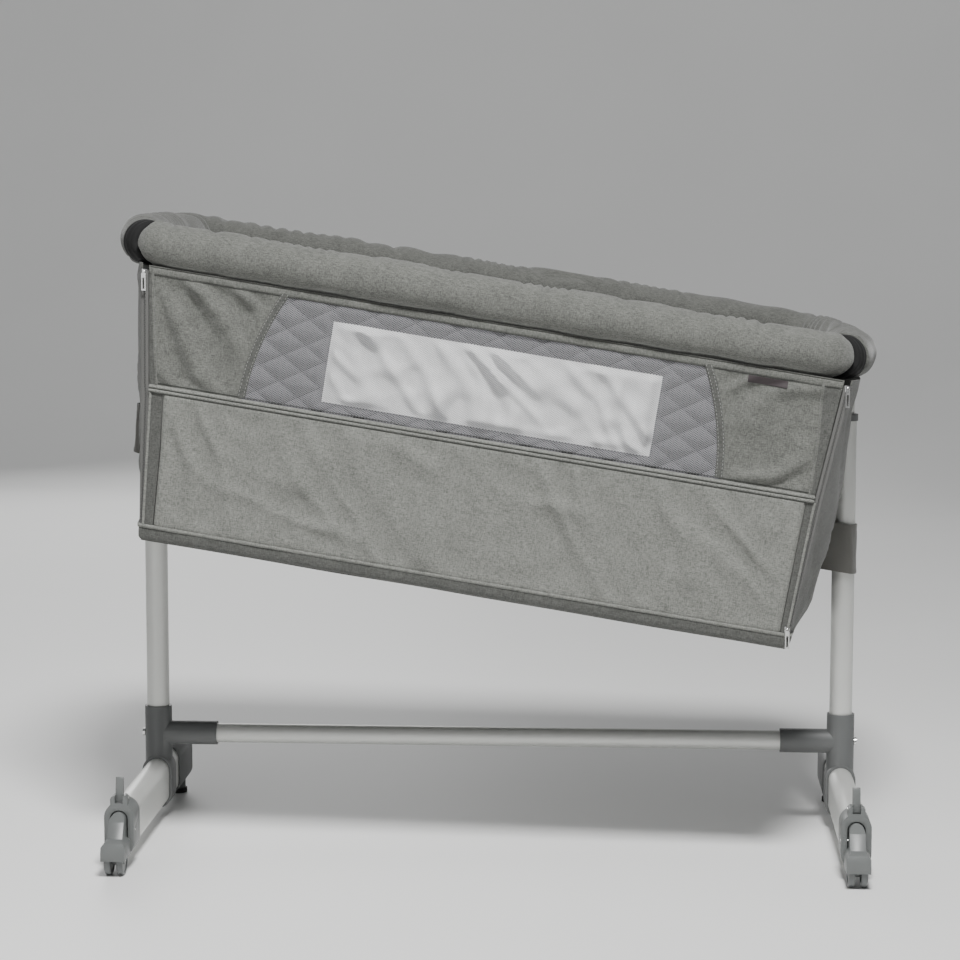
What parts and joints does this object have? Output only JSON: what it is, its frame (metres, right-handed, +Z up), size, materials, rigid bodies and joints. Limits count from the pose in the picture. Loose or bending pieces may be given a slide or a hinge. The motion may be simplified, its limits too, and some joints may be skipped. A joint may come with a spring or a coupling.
{
  "type": "bedside sleeper crib",
  "caption": "Bedside sleeper crib: padded fabric body with a fold-down mesh side, tilted on two telescopic legs with wheeled feet.",
  "frame": {"origin": "on the floor, under the middle of the object's bounding box", "axes": "+Z up, +X towards the lowered foot end, the fold-down side faces -Y"},
  "size_m": [0.9258, 0.5606, 0.763],
  "materials": {
    "silver_tube": "satin silver paint",
    "grey_plastic": "fine grain",
    "caster_plastic": "fine grain",
    "wheel_plastic": "smooth",
    "bright_steel": "bright",
    "rubber": "matte",
    "rail_steel": "satin",
    "grey_cloth": "melange linen weave",
    "dark_cloth": "melange weave, darker",
    "black_cloth": "matte",
    "mesh": "fine net",
    "liner": "quilted",
    "white_cloth": "soft",
    "board": "pressed board"
  },
  "bodies": {
    "stand": {"foot_tube_left": "silver_tube", "foot_tube_right": "silver_tube", "leg_tube_left": "silver_tube", "leg_tube_right": "silver_tube", "tee_left": "grey_plastic", "tee_right": "grey_plastic", "rear_caps": "grey_plastic", "front_collar_left": "caster_plastic", "front_collar_right": "caster_plastic", "wheel_housing_left": "caster_plastic", "wheel_housing_right": "caster_plastic", "leg_collars": "grey_plastic", "cross_bar": "silver_tube", "tee_bolts": "bright_steel", "rear_pads": "rubber", "caster_pins": "bright_steel"},
    "head_post": {"inner_tube_left": "silver_tube", "post_head_left": "grey_plastic"},
    "foot_post": {"inner_tube_right": "silver_tube", "post_head_right": "grey_plastic"},
    "crib": {"rail_tube_rear": "rail_steel", "rail_sleeve_back": "grey_cloth", "rail_sleeve_left": "grey_cloth", "rail_sleeve_right": "grey_cloth", "corner_joint_left": "black_cloth", "corner_joint_right": "black_cloth", "end_panel_left": "grey_cloth", "end_panel_right": "grey_cloth", "rear_panel": "grey_cloth", "lower_panel": "grey_cloth", "front_gussets": "dark_cloth", "zip_tapes": "dark_cloth", "fold_hem": "dark_cloth", "base_band": "dark_cloth", "base_board": "board", "mattress": "white_cloth", "rear_liner": "liner", "rear_pane": "white_cloth", "strap_right": "dark_cloth", "lower_slider": "bright_steel"},
    "drop_side": {"rail_tube_front": "rail_steel", "rail_sleeve_front": "grey_cloth", "side_fabric": "grey_cloth", "window_binding": "grey_cloth", "mesh_window": "mesh", "label_tab": "black_cloth"},
    "head_strap": {"strap_left": "dark_cloth"},
    "lower_puller": {"lower_puller": "bright_steel"},
    "wheel_left_a": {"wheel_left_a": "wheel_plastic"},
    "wheel_left_b": {"wheel_left_b": "wheel_plastic"},
    "brake_lever_left": {"brake_lever_left": "caster_plastic"},
    "lock_button_left": {"lock_button_left": "caster_plastic"},
    "zip_slider_left": {"zip_slider_left": "bright_steel"},
    "zip_puller_left": {"zip_puller_left": "bright_steel"},
    "wheel_right_a": {"wheel_right_a": "wheel_plastic"},
    "wheel_right_b": {"wheel_right_b": "wheel_plastic"},
    "brake_lever_right": {"brake_lever_right": "caster_plastic"},
    "lock_button_right": {"lock_button_right": "caster_plastic"},
    "zip_slider_right": {"zip_slider_right": "bright_steel"},
    "zip_puller_right": {"zip_puller_right": "bright_steel"}
  },
  "joints": [
    {"name": "height", "type": "slide", "parent": "stand", "child": "head_post", "axis": [0, 0, 1], "range_m": [0, 0.084]},
    {"name": "incline", "type": "hinge", "parent": "head_post", "child": "crib", "pos_m": [-0.4285, 0.0383, 0.735], "axis": [0, -1, 0], "range_deg": [0, 9.22]},
    {"name": "foot_post_slide", "type": "slide", "parent": "head_post", "child": "foot_post", "axis": [0, 0, 1], "range_m": [0, 0.1401]},
    {"name": "head_strap_slide", "type": "slide", "parent": "crib", "child": "head_strap", "axis": [-0.9871, 0, 0.1602], "range_m": [0, 0.02659]},
    {"name": "drop_side_fold", "type": "hinge", "parent": "crib", "child": "drop_side", "pos_m": [-0.02277, -0.2047, 0.50707], "axis": [0.9871, 0, -0.1602], "range_deg": [0, 170]},
    {"name": "wheel_left_a_spin", "type": "hinge", "parent": "stand", "child": "wheel_left_a", "pos_m": [-0.4285, -0.2588, 0.018], "axis": [1, 0, 0], "continuous": true},
    {"name": "wheel_left_b_spin", "type": "hinge", "parent": "stand", "child": "wheel_left_b", "pos_m": [-0.4285, -0.2588, 0.018], "axis": [1, 0, 0], "continuous": true},
    {"name": "brake_lever_left_turn", "type": "hinge", "parent": "stand", "child": "brake_lever_left", "pos_m": [-0.4285, -0.2282, 0.0835], "axis": [1, 0, 0], "range_deg": [0, 55]},
    {"name": "lock_button_left_press", "type": "slide", "parent": "stand", "child": "lock_button_left", "axis": [0, -1, 0], "range_m": [0, 0.0013], "stiffness_N_per_m": 800, "springref_m": -0.001},
    {"name": "zip_slider_left_run", "type": "slide", "parent": "crib", "child": "zip_slider_left", "axis": [-0.0116, 0, -0.9999], "range_m": [0, 0.11872]},
    {"name": "zip_puller_left_swing", "type": "hinge", "parent": "zip_slider_left", "child": "zip_puller_left", "pos_m": [-0.39799, -0.1962, 0.69702], "axis": [-1, 0, 0], "range_deg": [0, 95]},
    {"name": "wheel_right_a_spin", "type": "hinge", "parent": "stand", "child": "wheel_right_a", "pos_m": [0.4285, -0.2588, 0.018], "axis": [1, 0, 0], "continuous": true},
    {"name": "wheel_right_b_spin", "type": "hinge", "parent": "stand", "child": "wheel_right_b", "pos_m": [0.4285, -0.2588, 0.018], "axis": [1, 0, 0], "continuous": true},
    {"name": "brake_lever_right_turn", "type": "hinge", "parent": "stand", "child": "brake_lever_right", "pos_m": [0.4285, -0.2282, 0.0835], "axis": [1, 0, 0], "range_deg": [0, 55]},
    {"name": "lock_button_right_press", "type": "slide", "parent": "stand", "child": "lock_button_right", "axis": [0, -1, 0], "range_m": [0, 0.0013], "stiffness_N_per_m": 800, "springref_m": -0.001},
    {"name": "zip_slider_right_run", "type": "slide", "parent": "crib", "child": "zip_slider_right", "axis": [-0.2332, 0, -0.9724], "range_m": [0, 0.11773]},
    {"name": "zip_puller_right_swing", "type": "hinge", "parent": "zip_slider_right", "child": "zip_puller_right", "pos_m": [0.41317, -0.1962, 0.56539], "axis": [-1, 0, 0], "range_deg": [0, 95]},
    {"name": "lower_puller_swing", "type": "hinge", "parent": "crib", "child": "lower_puller", "pos_m": [0.34825, -0.1962, 0.28527], "axis": [-1, 0, 0], "range_deg": [0, 95]}
  ],
  "couplings": [
    {"joint": "foot_post_slide", "follows": "incline", "m_per_rad": 0.87023},
    {"joint": "head_strap_slide", "follows": "incline", "m_per_rad": 0.16521}
  ]
}
